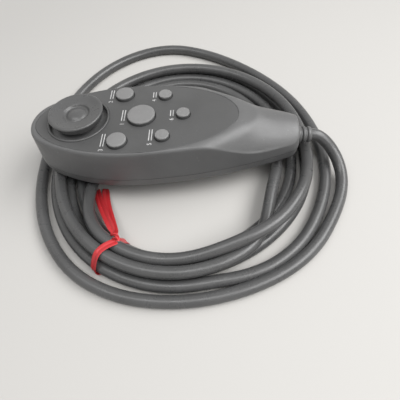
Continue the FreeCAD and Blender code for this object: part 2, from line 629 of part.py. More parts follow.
spring_bends = int(size("spring_turns") * BENDS_PER_TURN)
spring_path = []
for bend in range(spring_bends + 1):
    turn = 2 * math.pi * bend / BENDS_PER_TURN
    spring_path.append((size("spring_radius") * math.cos(turn), size("spring_radius") * math.sin(turn),
                        spring_span * bend / spring_bends))
spring = node(tube_node("stick_spring", spring_path, size("spring_wire")))
place(spring, STICK_X, "0", f"{PIVOT} + {spring_low}")
HUB_FOOT = "(board_height + board_thickness + pivot_rise + skirt_radius - body_height)"
RIM_INNER = "(knob_radius - rim_width)"
knob = turned("stick_knob", [
    ("0", "shaft_in_knob"), ("shaft_radius", "shaft_in_knob"), ("shaft_radius", HUB_FOOT),
    ("knob_hub_radius", HUB_FOOT), ("knob_hub_radius", "knob_rise - dish_depth - knob_deck / 2"),
    ("knob_foot_radius - knob_wall", "knob_rise - dish_depth - knob_deck / 2"),
    ("knob_foot_radius - knob_wall", "knob_skirt_rise"), ("knob_foot_radius", "knob_skirt_rise"),
    ("knob_radius", "knob_rise - rim_slope"), (RIM_INNER, "knob_rise"),
    ("(knob_radius + dish_radius) / 2", "knob_rise - cup_depth * 2 / 3"),
    ("dish_radius + rim_slope", "knob_rise - cup_depth"), ("dish_radius", "knob_rise - dish_depth"),
    ("dome_button_radius", "knob_rise - dish_depth"),
    ("dome_button_radius * 2 / 3", "knob_rise - dish_depth + dome_button_rise * 2 / 3"),
    ("0", "knob_rise - dish_depth + dome_button_rise")])
soften(knob, "knob_rim_round", [(size("knob_radius"), size("knob_rise") - size("rim_slope"))])
node(place(knob, STICK_X, "0", FACE))

# Strain relief: a ribbed rubber sleeve held by a neck in the two shells' end walls
RELIEF_NECK = "(wall + base_draft)"
RELIEF_BACK = f"(0 - {RELIEF_NECK} - relief_flange)"
relief_points = [("cable_radius", RELIEF_BACK), ("relief_radius", RELIEF_BACK),
                 ("relief_radius", f"0 - {RELIEF_NECK}"), ("relief_neck_radius", f"0 - {RELIEF_NECK}"),
                 ("relief_neck_radius", "0"), ("relief_radius", "0")]
rib_pitch = "(rib_width + rib_gap)"
RIBS = 2
for rib in range(RIBS):
    relief_points.append(("relief_radius", f"{rib_pitch} * {rib} + rib_width"))
    relief_points.append(("relief_radius - rib_depth", f"{rib_pitch} * {rib} + rib_width"))
    relief_points.append(("relief_radius - rib_depth", f"{rib_pitch} * {rib + 1}"))
    relief_points.append(("relief_radius", f"{rib_pitch} * {rib + 1}"))
relief_points += [("relief_radius", f"{rib_pitch} * {RIBS} + rib_width"),
                  ("relief_tip_radius", "relief_length"), ("cable_radius", "relief_length")]
node(place(turned("strain_relief", relief_points, along_x=True), TAIL, "0", PARTING))

# Lead's inner end, its clamp and screws, conductors and the connector on the board
stub = cylinder("cable_inner_end", "cable_radius", "jacket_inside + relief_length",
                f"{TAIL} - jacket_inside", "0", PARTING, lying="+x")
node(stub)
clamp_bar = block("clamp_bar", "clamp_length", "clamp_width", "cable_radius + clamp_height - clamp_gap",
                  CLAMP_X, "0", f"{PARTING} + clamp_gap")
clamp_way = cylinder("clamp_way", "cable_radius", "clamp_length * 2",
                     f"{CLAMP_X} - clamp_length", "0", PARTING, lying="+x")
clamp_ears = []
clamp_ways = [clamp_way]
EAR_TOP = "(clamp_gap + clamp_height)"
for side in ("", "0 - "):
    count = len(clamp_ears)
    clamp_ears.append(block(f"clamp_ear_{count}", "clamp_length * 2", "clamp_width", "body_height", CLAMP_X,
                            f"{side}(clamp_width / 2 + cable_radius + rib_width)", f"{PARTING} + {EAR_TOP}"))
    clamp_ways.append(cylinder(f"clamp_ear_hole_{count}", "clamp_screw_radius + screw_hole_gap",
                               "body_height", CLAMP_X, f"{side}clamp_screw_aside", BASE))
node(cut("cable_clamp", clamp_bar, fuse("clamp_hollow", clamp_ears + clamp_ways)))
clamp_screws = []
for side in ("", "0 - "):
    count = len(clamp_screws)
    one = screw(f"clamp_screw_{count}", "clamp_screw_radius", f"{EAR_TOP} + parting_height / 2",
                "clamp_screw_head_radius", "clamp_screw_head_height")
    one.Placement.Rotation = FreeCAD.Rotation(FreeCAD.Vector(1, 0, 0), 180)
    clamp_screws.append(place(one, CLAMP_X, f"{side}clamp_screw_aside", f"{PARTING} + {EAR_TOP}"))
node(group("clamp_screws", clamp_screws))
BOARD_END = f"({TAIL} - board_to_tail)"
SOCKET_Z = f"({BASE} + board_height - socket_height)"
node(block("board_socket", "socket_length", "socket_width", "socket_height",
           f"{BOARD_END} - socket_length / 2", "0", SOCKET_Z))
node(block("wire_plug", "wire_plug_length", "socket_width", "socket_height",
           f"{BOARD_END} + wire_plug_length / 2", "0", SOCKET_Z))


WIRES = 6
wire_start = size("body_length") / 2 - size("jacket_inside")
wire_end = size("body_length") / 2 - size("board_to_tail") + size("wire_plug_length")
wire_rise = base_z + size("board_height") - size("socket_height") / 2
wires = []
for number in range(WIRES):
    across = (number - (WIRES - 1) / 2) * size("wire_pitch")
    turn = 2 * math.pi * number / WIRES
    near_y = size("wire_spread") * math.cos(turn)
    near_z = parting_z + size("wire_spread") * math.sin(turn)
    third = (wire_start - wire_end) / 3
    wires.append(tube_node(f"wire_{number}", [
        (wire_start, near_y, near_z), (wire_start - third, near_y, near_z),
        (wire_end + third, across, wire_rise), (wire_end, across, wire_rise)], size("wire_radius")))
node(group("conductors", wires))

# Coil: the outer shape of six turns, three wide and two deep, that the control lies on
def oval(label, half_x, half_y, x):
    """An oval prism as high as the coil, longer across the body than along it."""
    edge = bind(doc.addObject("Part::Ellipse", label + "_edge"), MajorRadius=half_y, MinorRadius=half_x)
    edge.Placement.Rotation = FreeCAD.Rotation(FreeCAD.Vector(0, 0, 1), 90)
    place(edge, x, "coil_y", FLOOR)
    prism = doc.addObject("Part::Extrusion", label)
    prism.Base = edge
    prism.Dir = FreeCAD.Vector(0, 0, 1)
    prism.DirMode = "Custom"
    prism.Solid = True
    return bind(prism, LengthFwd="coil_height")


coil_ring = cut("coil_ring", oval("coil_outside", "coil_outer_half_x", "coil_outer_half_y", "coil_outer_x"),
                oval("coil_inside", "coil_inner_half_x", "coil_inner_half_y", "coil_inner_x"))
coil_soft = rounded("coil_soft", coil_ring, "coil_round", lambda p: True)

# Twist tie: a flat band drawn tight around the coil, with two ends that cross on the floor inside
tie_angle = math.radians(-size("tie_turn"))


def coil_point(which):
    return FreeCAD.Vector(
        size(f"coil_{which}_x") + size(f"coil_{which}_half_x") * math.cos(tie_angle),
        size("coil_y") + size(f"coil_{which}_half_y") * math.sin(tie_angle), 0)


tie_in = coil_point("inner")
tie_out = coil_point("outer")
tie_reach = tie_out - tie_in
tie_span = tie_reach.Length
tie_heading = math.degrees(math.atan2(tie_reach.y, tie_reach.x))
strap = size("tie_thickness")
floor_z = base_z - size("coil_height")


def tie_frame(along, width, low, high):
    """A box across the coil at the tie, from its inner side outwards."""
    start, end = along
    brick = Part.makeBox(end - start, width, high - low, FreeCAD.Vector(start, -width / 2, low))
    brick.rotate(FreeCAD.Vector(0, 0, 0), FreeCAD.Vector(0, 0, 1), tie_heading)
    brick.translate(tie_in)
    return brick


band_outer = tie_frame((-strap, tie_span + strap), size("tie_width"), floor_z, base_z + strap)
band_inner = tie_frame((0, tie_span), size("tie_width") * 2, floor_z + strap, base_z)
band = doc.addObject("Part::Feature", "tie_band")
band.Shape = band_outer.cut(band_inner)
tie_low = floor_z + size("floor_gap")


def strip(corner_points, lift):
    """A flat end of the tie, lying on the floor along a bent path."""
    points = [FreeCAD.Vector(x, y, tie_low + lift) for x, y in corner_points]
    pieces = []
    for here, there in zip(points, points[1:]):
        run = there - here
        corner = FreeCAD.Vector(0, -size("tie_width") / 2, 0)
        flat = Part.makeBox(run.Length, size("tie_width"), strap, corner)
        flat.rotate(FreeCAD.Vector(0, 0, 0), FreeCAD.Vector(0, 0, 1), math.degrees(math.atan2(run.y, run.x)))
        flat.translate(here)
        pieces.append(flat)
        disc = Part.makeCylinder(size("tie_width") / 2, strap, there)
        pieces.append(disc)
    solid = pieces[0].multiFuse(pieces[1:])
    return solid.removeSplitter()


knot = tie_in - tie_reach * (strap / 2 / tie_span)
TAIL_ENDS = [[(-32.0, -41.0), (-47.5, -19.0)], [(-36.0, -44.0), (-40.0, -18.0)]]
strips = []
for level, ends in enumerate(TAIL_ENDS):
    flat_end = doc.addObject("Part::Feature", f"tie_end_{level}")
    flat_end.Shape = strip([(knot.x, knot.y)] + ends, level * strap)
    strips.append(flat_end)
twist_tie = node(fuse("twist_tie", [band] + strips))
cable_coil = node(cut("cable_coil", coil_soft, twist_tie))

# Lead from the strain relief: a tight bend down, then one loose turn on the floor around the coil
exit_x = size("body_length") / 2 + size("relief_length")
lying = floor_z + size("floor_gap") + size("cable_radius")
LEAD = [
    (exit_x, 0, parting_z), (exit_x + 4.5, 0, parting_z), (exit_x + 10.0, -0.9, parting_z - 2.4),
    (exit_x + 14.7, -3.6, parting_z - 7.3), (exit_x + 17.8, -10.0, parting_z - 12.4),
    (exit_x + 18.2, -20.5, parting_z - 16.6), (101.2, -33.0, lying), (93.8, -47.5, lying),
    (82.5, -64.5, lying), (67.5, -77.5, lying), (47.5, -87.5, lying), (24.5, -93.8, lying),
    (0.0, -95.4, lying), (-27.0, -90.8, lying), (-52.0, -77.0, lying), (-71.0, -53.0, lying),
    (-82.0, -23.5, lying), (-85.7, 8.5, lying), (-84.2, 41.5, lying), (-76.0, 74.0, lying),
    (-58.7, 103.5, lying), (-33.2, 123.0, lying), (-4.7, 128.5, lying), (22.0, 118.3, lying),
    (45.5, 101.5, lying), (67.0, 80.0, lying), (84.0, 55.0, lying), (94.0, 28.0, lying), (97.3, 0.0, lying),
    (94.8, -22.5, lying), (87.0, -43.5, lying), (75.5, -62.0, lying), (60.0, -75.0, lying),
    (43.0, -82.0, lying), (26.0, -84.5, lying),
]
node(tube_node("cable_lead", LEAD, size("cable_radius")))

# Crossing: the last turn but one climbs out from under the tail and over the others to the inner side
upper = lying + size("cable_radius") * 2
CROSSING = [
    (84.9, -5.0, upper), (82.5, -19.0, upper + 2.3), (78.8, -31.5, upper + 6.0), (72.3, -44.5, upper + 7.6),
    (61.5, -57.3, upper + 7.8), (47.5, -65.5, upper + 7.4), (33.0, -70.5, upper + 4.6),
    (19.0, -73.6, upper + 1.2), (6.0, -75.0, upper),
]
node(tube_node("cable_crossing", CROSSING, size("cable_radius")))

# Plug end: out of the coil's inner side, down under the control and straight into the plug's boot
plug_z = floor_z + size("floor_gap") + size("grip_radius")
plug_start = (size("plug_x"), size("plug_y"), plug_z)
PLUG_LEAD = [
    (-44.9, -45.4, upper), (-46.9, -34.0, upper - 0.2), (-47.2, -22.0, upper - 1.8),
    (-46.0, -9.0, upper - 4.9), (-42.8, 4.5, lying + 0.4), (-37.0, 17.0, lying + 0.9), (-28.0, 26.0, lying + 2.2),
    (-19.0, size("plug_y"), plug_z), plug_start,
]
node(tube_node("cable_plug_lead", PLUG_LEAD, size("cable_radius")))

# Plug: tapered boot, round grip, metal shell, insert and contacts on one line along X
PLUG_Z = f"({FLOOR} + floor_gap + grip_radius)"
boot = turned("plug_boot", [
    ("0", "0"), ("boot_tip_radius", "0"), ("boot_radius", "boot_length"), ("0", "boot_length")], along_x=True)
node(place(boot, "plug_x", "plug_y", PLUG_Z))
grip = turned("plug_grip", [
    ("0", "0"), ("grip_radius", "0"), ("grip_radius", "grip_length"), ("0", "grip_length")], along_x=True)
soften(grip, "grip_round", [(size("grip_radius"), 0.0), (size("grip_radius"), size("grip_length"))])
node(place(grip, "plug_x + boot_length", "plug_y", PLUG_Z))
NOSE_FACE = "(plug_x + boot_length + grip_length)"
sleeve = turned("plug_shell", [
    ("shell_radius - shell_wall", "0"), ("shell_radius", "0"), ("shell_radius", "shell_length"),
    ("shell_radius - shell_wall", "shell_length")], along_x=True)
node(place(sleeve, NOSE_FACE, "plug_y", PLUG_Z))
insert_core = turned("insert_core", [
    ("0", "0"), ("shell_radius - shell_wall - insert_gap", "0"),
    ("shell_radius - shell_wall - insert_gap", "shell_length - insert_recess"),
    ("0", "shell_length - insert_recess")], along_x=True)
place(insert_core, NOSE_FACE, "plug_y", PLUG_Z)
contacts = []
contact_ways = []
for number in range(int(size("contact_count"))):
    turn = f"{number} * 360 / contact_count"
    y = f"plug_y + contact_circle * cos({turn})"
    z = f"{PLUG_Z} + contact_circle * sin({turn})"
    start = f"{NOSE_FACE} + shell_length - insert_recess - contact_back"
    for kept, label, extra in ((contacts, "contact", "0"), (contact_ways, "contact_way", "insert_gap")):
        rod = cylinder(f"{label}_{number}", f"contact_radius + {extra}",
                       "insert_recess + contact_back - contact_radius", start, y, z, lying="+x")
        kept.append(rod)
node(cut("plug_insert", insert_core, fuse("contact_way_set", contact_ways)))
node(group("plug_contacts", contacts))

doc.recompute()
failed = [thing.Label for thing in doc.Objects if {"Invalid", "Error"} & set(thing.State)]
for thing in nodes:
    if thing.Shape.isNull() or not thing.Shape.isValid() or not thing.Shape.Solids:
        failed.append(f"{thing.Label} shape")
if failed:
    raise RuntimeError(f"these did not build: {failed}")
os.makedirs("parts", exist_ok=True)
for thing in nodes:
    thing.Shape.exportStep(f"parts/{thing.Label}.step")
    box = thing.Shape.BoundBox
    print(f"{thing.Label}: {len(thing.Shape.Solids)} solid(s), x {box.XMin:.2f} {box.XMax:.2f}, "
          f"y {box.YMin:.2f} {box.YMax:.2f}, z {box.ZMin:.2f} {box.ZMax:.2f}")
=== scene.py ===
"""Hand control with a thumb stick and six keys, lying on its own coiled lead.

Every piece is in metres in the part's frame: the origin is the middle of the control's box,
+X points along the control to the lead's exit and +Z out of the key face. Sizes are written
in millimetres and times MM where a shape is made.
"""
import bmesh
import bpy
import math
from mathutils import Matrix, Vector


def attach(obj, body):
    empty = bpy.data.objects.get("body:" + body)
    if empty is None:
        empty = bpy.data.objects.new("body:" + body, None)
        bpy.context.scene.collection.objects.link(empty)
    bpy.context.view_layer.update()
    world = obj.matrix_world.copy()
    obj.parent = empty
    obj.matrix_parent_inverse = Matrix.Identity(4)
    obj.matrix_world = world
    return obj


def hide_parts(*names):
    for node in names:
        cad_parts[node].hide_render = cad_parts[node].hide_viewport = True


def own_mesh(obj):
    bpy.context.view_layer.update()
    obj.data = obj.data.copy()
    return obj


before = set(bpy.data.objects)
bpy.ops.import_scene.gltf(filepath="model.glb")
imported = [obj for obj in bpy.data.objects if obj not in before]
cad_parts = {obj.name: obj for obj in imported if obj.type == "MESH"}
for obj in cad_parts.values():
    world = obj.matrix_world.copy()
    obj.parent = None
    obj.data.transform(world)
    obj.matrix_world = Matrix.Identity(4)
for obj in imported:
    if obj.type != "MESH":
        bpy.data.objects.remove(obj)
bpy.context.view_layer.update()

# Housing: two moulded half shells in charcoal plastic, fine spark-eroded all over, screwed
# together from below along a parting line: a thin groove, coloured near-black as painted shade.
MM = 0.001
PARTING_Z = -9.6
GROOVE = 0.2 * MM
SHARP_EDGE = math.radians(40)


class Shade:
    """A shader value: sums on it add Math nodes, and node() adds any other node."""

    def __init__(self, tree, socket=None):
        self.tree = tree
        self.socket = socket

    def node(self, kind, settings, sockets, output=0):
        """Add a node with its settings and what its sockets hold, and give one of its outputs."""
        made = self.tree.nodes.new("ShaderNode" + kind)
        for name, value in settings.items():
            setattr(made, name, value)
        for name, value in sockets.items():
            self.feed(made.inputs[name], value)
        return Shade(self.tree, made.outputs[output])

    def feed(self, target, value):
        """Link a shader value to a socket, or set a plain value on it."""
        if isinstance(value, Shade):
            self.tree.links.new(value.socket, target)
        else:
            target.default_value = value

    def math(self, operation, first, second=0.0):
        return self.node("Math", {"operation": operation}, {0: first, 1: second})

    def __add__(self, other):
        return self.math("ADD", self, other)

    def __sub__(self, other):
        return self.math("SUBTRACT", self, other)

    def __rsub__(self, other):
        return self.math("SUBTRACT", other, self)

    def __mul__(self, other):
        return self.math("MULTIPLY", self, other)

    __radd__ = __add__
    __rmul__ = __mul__

    def size(self):
        """This value without its sign."""
        return self.math("ABSOLUTE", self)

    def between(self, low, high):
        """0 below low, 1 above high, and a smooth step from one to the other."""
        return self.node("MapRange", {"interpolation_type": "SMOOTHSTEP"},
                         {"Value": self, "From Min": low, "From Max": high})

    def mix(self, dark, light):
        """One of two colours, by this value from 0 to 1."""
        return self.node("Mix", {"data_type": "RGBA"}, {0: self, 6: dark, 7: light}, 2)

    def along(self, axis):
        """One coordinate of a place."""
        return self.node("SeparateXYZ", {}, {0: self}, "XYZ".index(axis))


def new_finish(name):
    """A material, its shader and the object's own coordinates, from which its network starts."""
    material = bpy.data.materials.new(name)
    material.use_nodes = True
    shader = material.node_tree.nodes["Principled BSDF"]
    spot = Shade(material.node_tree).node("TexCoord", {}, {}, "Object")
    return material, shader, spot


def noise(spot, scale, detail=3.0, roughness=0.55):
    return spot.node("TexNoise", {}, {"Vector": spot, "Scale": scale, "Detail": detail,
                                      "Roughness": roughness})


def grey(level, warm=0.0):
    return (level * (1 + warm), level, level * (1 - warm), 1.0)


def moulded(name, dark, light, roughness, grain=1100.0, relief=0.1, rub=0.1, edge=0.0, seam=None,
            wave=0.0):
    """Moulded plastic: an even grain, faint clouds, specks of dust, places rubbed smooth by hands.

    grain is the scale of the pits and relief their strength, rub how much smoother the worn places
    are, edge the radius at which edges catch the light, seam the height of a groove that is
    coloured near-black as painted shade, and wave the strength of a slow unevenness.
    """
    material, shader, spot = new_finish(name)
    cloud = noise(spot, 38.0, 4.0).between(0.3, 0.7)
    worn = noise(spot, 140.0, 5.0, 0.65).between(0.45, 0.75)
    dust = noise(spot, 850.0, 2.0, 0.5).between(0.7, 0.76)
    pits = noise(spot, grain, 2.0)
    dust_colour = [4 * level for level in light[:3]] + [1.0]
    colour = (0.22 * dust).mix(cloud.mix(dark, light), dust_colour)
    height = pits
    if wave:
        height = height + wave * noise(spot, 70.0, 1.0)
    if seam is not None:
        # near-black in the groove is painted shade where its shadow falls; the groove itself is
        # only a bump
        groove_shade = 1 - (spot.along("Z") - seam).size().between(GROOVE * 0.4, GROOVE)
        colour = groove_shade.mix(colour, grey(0.006))
        height = height - 6.0 * groove_shade
    spot.feed(shader.inputs["Base Color"], colour)
    uneven = 0.16 * (pits - 0.5) + 0.25 * dust
    spot.feed(shader.inputs["Roughness"], roughness - rub * worn + uneven)
    bump = {"Strength": relief, "Distance": 0.25 * MM, "Height": height}
    if edge:
        bump["Normal"] = spot.node("Bevel", {"samples": 6}, {"Radius": edge})
    spot.feed(shader.inputs["Normal"], spot.node("Bump", {}, bump))
    return material


def dress(material, *names):
    """Give CAD pieces their material."""
    for name in names:
        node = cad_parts[name]
        node.data.materials.clear()
        node.data.materials.append(material)


def finished(shape, name, materials, body, slot, *nodes, crisp=True):
    """Make a mesh object of a shape, with smooth faces and crisp edges, and set it on its body."""
    mesh = bpy.data.meshes.new(name)
    shape.to_mesh(mesh)
    shape.free()
    for material in materials:
        mesh.materials.append(material)
    mesh.shade_smooth()
    if crisp:
        mesh.set_sharp_from_angle(angle=SHARP_EDGE)
    piece = bpy.data.objects.new(name, mesh)
    bpy.context.scene.collection.objects.link(piece)
    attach(piece, body)
    if nodes:
        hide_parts(*nodes)
    return piece


def soft_step(value, start, end):
    """How much of a change from start to end is done at a value, from 0 to 1."""
    share = min(max((value - start) / (end - start), 0.0), 1.0)
    return share * share * (3 - 2 * share)


charcoal = moulded("charcoal_shell", grey(0.094), grey(0.108), 0.44, grain=900.0, relief=0.16,
                   edge=0.7 * MM, seam=PARTING_Z * MM)
dress(charcoal, "lower_shell")

# Upper shell: its top falls away from the panel's rounded end to a low shoulder along the tail.
# A copy of the moulding is cut finely there and eased down, most at its shoulders and
# not at all at the panel.
PANEL_MIDDLE, PANEL_REACH, PANEL_HALF = 10.0, 33.4, 22.2
TAIL_FROM = 17.0
TAIL_CUTS = [(0, 19.0, 20), (1, -24.1, 17), (2, -7.0, 5)]  # axis, first cut, number of cuts
CUT_STEP = 3.0
CORNER = math.radians(60)
SHOULDER_X = 50.0
SHOULDER_HALF, SHOULDER_LEAN, SHOULDER_BOW = 19.4, 0.275, 0.0045
ROOF_X, ROOF_HEIGHT, ROOF_SLOPE = 26.0, 18.1, 0.262
SHOULDER_FALL = 4.7
FALL_STARTS, FALL_ENDS = (20.0, 56.0), (44.0, 78.0)
FALL_CURVE = 1.3
cover = bmesh.new()
cover.from_mesh(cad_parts["upper_shell"].data)
bmesh.ops.remove_doubles(cover, verts=cover.verts[:], dist=0.001 * MM)
for edge in cover.edges:
    edge.smooth = edge.calc_face_angle(math.pi) < SHARP_EDGE
for axis, first_cut, cuts in TAIL_CUTS:
    level = Vector([float(axis == other) for other in range(3)])
    for cut in range(cuts):
        tail_faces = [face for face in cover.faces
                      if face.calc_center_median().x > TAIL_FROM * MM]
        tail_edges = list(dict.fromkeys(edge for face in tail_faces for edge in face.edges))
        bmesh.ops.bisect_plane(cover, geom=tail_faces + tail_edges, dist=0.002 * MM,
                               plane_co=level * (first_cut + CUT_STEP * cut) * MM, plane_no=level)
bmesh.ops.dissolve_degenerate(cover, dist=0.02 * MM, edges=cover.edges[:])
for edge in cover.edges:
    if edge.calc_face_angle(math.pi) > CORNER:
        edge.smooth = False
for vert in cover.verts:
    x, y, z = vert.co / MM
    if x < FALL_STARTS[0]:
        continue
    past = x - SHOULDER_X
    half = SHOULDER_HALF - SHOULDER_LEAN * past - SHOULDER_BOW * past ** 2
    along = ((x - PANEL_MIDDLE) / PANEL_REACH) ** 2
    from_panel = math.sqrt(along + (y / PANEL_HALF) ** 2) - 1
    to_shoulder = math.sqrt(along + (half / PANEL_HALF) ** 2) - 1
    out = min(max(from_panel / to_shoulder, 0.0), 1.0)
    roof = ROOF_HEIGHT - ROOF_SLOPE * (x - ROOF_X)
    rise = min(max((z - PARTING_Z) / roof, 0.0), 1.0)
    fall = SHOULDER_FALL * soft_step(x, *FALL_STARTS) * (1 - soft_step(x, *FALL_ENDS))
    vert.co.z -= fall * out ** FALL_CURVE * rise * MM
finished(cover, "upper_cover", [charcoal], "housing", "shell", "upper_shell", crisp=False)

# Case screws: four zinc-plated screws with a hexagon socket, sunk in recesses of the lower shell.
# They go up into the bosses of the upper shell.
plated, plated_shader, plated_spot = new_finish("zinc_plating")
plated_shader.inputs["Metallic"].default_value = 1.0
brushed = noise(plated_spot, 600.0, 4.0)
plated_spot.feed(plated_shader.inputs["Base Color"], brushed.mix(grey(0.45), grey(0.62)))
plated_spot.feed(plated_shader.inputs["Roughness"], 0.24 + 0.2 * brushed)


def turned(shape, outline, steps, tip=Matrix.Identity(4)):
    """Spin an outline of (radius, height, rounding) corners about Z, then round its corners."""
    line = [shape.verts.new((radius * MM, 0, height * MM)) for radius, height, _ in outline]
    edges = [shape.edges.new(pair) for pair in zip(line, line[1:])]
    before = set(shape.faces)
    bmesh.ops.spin(shape, geom=line + edges, cent=(0, 0, 0), axis=(0, 0, 1), angle=2 * math.pi,
                   steps=steps, use_merge=True, use_duplicate=False)
    made = [face for face in shape.faces if face not in before]
    fresh = list(dict.fromkeys(vert for face in made for vert in face.verts))
    bmesh.ops.remove_doubles(shape, verts=fresh, dist=0.001 * MM)
    for rounding in sorted({corner[2] for corner in outline if corner[2]}):
        rings = [corner[:2] for corner in outline if corner[2] == rounding]
        picked = []
        for edge in shape.edges:
            if not set(edge.link_faces) - before or len(edge.link_faces) < 2:
                continue
            ends = [(math.hypot(vert.co.x, vert.co.y) / MM, vert.co.z / MM) for vert in edge.verts]
            for radius, height in rings:
                if all(abs(a - radius) < 1e-3 and abs(b - height) < 1e-3 for a, b in ends):
                    picked.append(edge)
        bmesh.ops.bevel(shape, geom=picked, offset=rounding * MM, offset_type="OFFSET",
                        affect="EDGES", segments=4, profile=0.5, material=-1, clamp_overlap=True)
    made = [face for face in shape.faces if face not in before]
    bmesh.ops.recalc_face_normals(shape, faces=made)
    fresh = list(dict.fromkeys(vert for face in made for vert in face.verts))
    bmesh.ops.transform(shape, matrix=tip, verts=fresh)


SCREW_SEAT = -12.95
SCREW_PLACES = [(-65.25, 9.5), (-65.25, -9.5), (46.75, 12.5), (46.75, -12.5)]
HEAD_HEIGHT, SOCKET_RADIUS, SOCKET_DEPTH = 2.0, 1.55, 1.2
SCREW_OUTLINE = [(SOCKET_RADIUS, -HEAD_HEIGHT, 0), (2.7, -HEAD_HEIGHT, 0.35), (2.7, 0, 0),
                 (1.4, 0, 0), (1.4, 9.5, 0), (1.0, 9.85, 0), (0, 9.85, 0)]
screws = bmesh.new()
for x, y in SCREW_PLACES:
    foot = Matrix.Translation(Vector((x, y, SCREW_SEAT)) * MM)
    turned(screws, SCREW_OUTLINE, 24, foot)
    socket_end = foot @ Matrix.Translation((0, 0, (SOCKET_DEPTH - HEAD_HEIGHT) * MM))
    hexagon = bmesh.ops.create_circle(screws, cap_ends=True, segments=6,
                                      radius=SOCKET_RADIUS * MM, matrix=socket_end)
    sides = dict.fromkeys(edge for vert in hexagon["verts"] for edge in vert.link_edges)
    walls = bmesh.ops.extrude_edge_only(screws, edges=list(sides))
    rim = [part for part in walls["geom"] if isinstance(part, bmesh.types.BMVert)]
    bmesh.ops.translate(screws, verts=rim, vec=(0, 0, -SOCKET_DEPTH * MM))
finished(screws, "case_screw_set", [plated], "housing", "steel", "case_screws")

# Circuit board and what it carries: glass-fibre board in green lacquer, black switches with
# off-white plungers, the lead's socket, and zinc-plated screws up into the upper shell's posts.
lacquer = moulded("board_lacquer", (0.012, 0.085, 0.035, 1), (0.018, 0.11, 0.05, 1), 0.35,
                  grain=2500.0, relief=0.03)
black_moulding = moulded("black_moulding", grey(0.014), grey(0.02), 0.38)
acetal = moulded("off_white_acetal", grey(0.62, 0.03), grey(0.7, 0.03), 0.42)
wire_red = moulded("wire_insulation", (0.25, 0.03, 0.025, 1), (0.33, 0.05, 0.04, 1), 0.4)
LARGE, MEDIUM, SMALL = 8.0, 5.5, 3.95
KEYS = {  # radius, x, y
    "large_key": (LARGE, -12.25, 0.0),
    "far_front_key": (MEDIUM, -23.95, 19.2),
    "near_front_key": (MEDIUM, -23.95, -19.2),
    "far_rear_key": (SMALL, 0.6, 16.9),
    "near_rear_key": (SMALL, 0.6, -16.9),
    "tail_key": (SMALL, 11.6, 0.0),
}
dress(lacquer, "circuit_board")
dress(black_moulding, "switch_housings", "cable_clamp")
dress(plated, "board_screws", "clamp_screws")
dress(acetal, "board_socket", "wire_plug", *[key + "_plunger" for key in KEYS])
dress(wire_red, "conductors")

# Thumb stick unit: a black base and yoke on the board, an off-white hub, a steel shaft with its
# return spring, wound of steel wire, and a black ball skirt that closes the well below the knob.
soft_black = moulded("soft_black", grey(0.07), grey(0.082), 0.33, grain=1800.0, relief=0.08,
                     edge=0.3 * MM)
dress(black_moulding, "stick_base", "stick_yoke")
dress(acetal, "stick_hub", "stick_push_switch")
dress(plated, "stick_shaft")
dress(soft_black, "stick_skirt")
STICK = (-48.75, 0.0)
SPRING_FOOT, SPRING_SPAN, SPRING_TURNS = 1.85, 6.945, 4
SPRING_RADIUS, WIRE_RADIUS = 2.4, 0.25
SPRING_STEPS = 32 * SPRING_TURNS
spring = bmesh.new()
wire_start = Matrix.Translation(Vector((SPRING_RADIUS, 0, SPRING_FOOT)) * MM)
wire = bmesh.ops.create_circle(spring, segments=12, radius=WIRE_RADIUS * MM,
                               matrix=wire_start @ Matrix.Rotation(math.pi / 2, 4, "X"))["verts"]
wire_edges = list(dict.fromkeys(edge for vert in wire for edge in vert.link_edges))
bmesh.ops.spin(spring, geom=wire + wire_edges, cent=(0, 0, 0), axis=(0, 0, 1),
               angle=2 * math.pi * SPRING_TURNS, dvec=(0, 0, SPRING_SPAN * MM / SPRING_STEPS),
               steps=SPRING_STEPS, use_duplicate=False)
wire_ends = [edge for edge in spring.edges if edge.is_boundary]
bmesh.ops.holes_fill(spring, edges=wire_ends, sides=0)
bmesh.ops.translate(spring, verts=spring.verts[:], vec=Vector((*STICK, 0)) * MM)
bmesh.ops.recalc_face_normals(spring, faces=spring.faces[:])
spring_piece = finished(spring, "return_spring", [plated], "hub", "steel", "stick_spring")
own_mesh(spring_piece)

# Face panel: an oval overlay in satin dark grey, a shade darker than the shell, flush in its
# recess. Its legends are plain numbers with two thin bars each, screen printed in off-white
# beside the keys.
FACE_Z = 10.45
satin_panel = moulded("satin_panel", grey(0.064), grey(0.076), 0.46, grain=1500.0, relief=0.1,
                      rub=0.08, edge=0.25 * MM)
dress(satin_panel, "face_panel")
ink, ink_shader, ink_spot = new_finish("printed_ink")
thin = noise(ink_spot, 900.0, 4.0, 0.7).between(0.2, 0.6)
ink_spot.feed(ink_shader.inputs["Base Color"], thin.mix(grey(0.3), grey(0.55, 0.01)))
ink_spot.feed(ink_shader.inputs["Roughness"], 0.55 - 0.15 * thin)
LEGENDS = {  # number, length of the whole legend
    "large_key": ("1", 12.5), "far_front_key": ("2", 11.5), "near_front_key": ("3", 13.0),
    "far_rear_key": ("4", 8.4), "near_rear_key": ("5", 12.0), "tail_key": ("6", 8.4),
}
INK_HEIGHT, LEGEND_GAP, NUMBER_SIZE = 0.03, 2.6, 3.6
BAR_START, BAR_ASIDE, BAR_WIDTH = 3.6, 0.75, 0.5
prints = bmesh.new()
